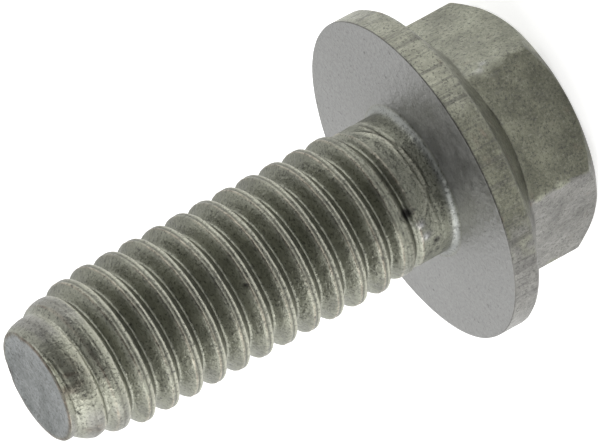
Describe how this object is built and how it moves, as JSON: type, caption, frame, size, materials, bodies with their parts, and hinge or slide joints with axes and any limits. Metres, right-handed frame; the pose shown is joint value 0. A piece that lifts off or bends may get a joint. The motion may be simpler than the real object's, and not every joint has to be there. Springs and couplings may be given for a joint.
{
  "type": "flange bolt",
  "caption": "Hex head flange bolt with a fully threaded shank, a short plain neck and a tapered point.",
  "frame": {"origin": "centre of the bearing face under the flange, on the axis of the shank", "axes": "+Z along the shank from the head to the point, +X through one corner of the hex"},
  "size_m": [0.02, 0.02, 0.0335],
  "materials": {
    "coated_steel": "dull grey zinc coating with an olive tint, mottled and lightly scuffed"
  },
  "bodies": {
    "root": {"flange_bolt": "coated_steel"}
  },
  "joints": []
}
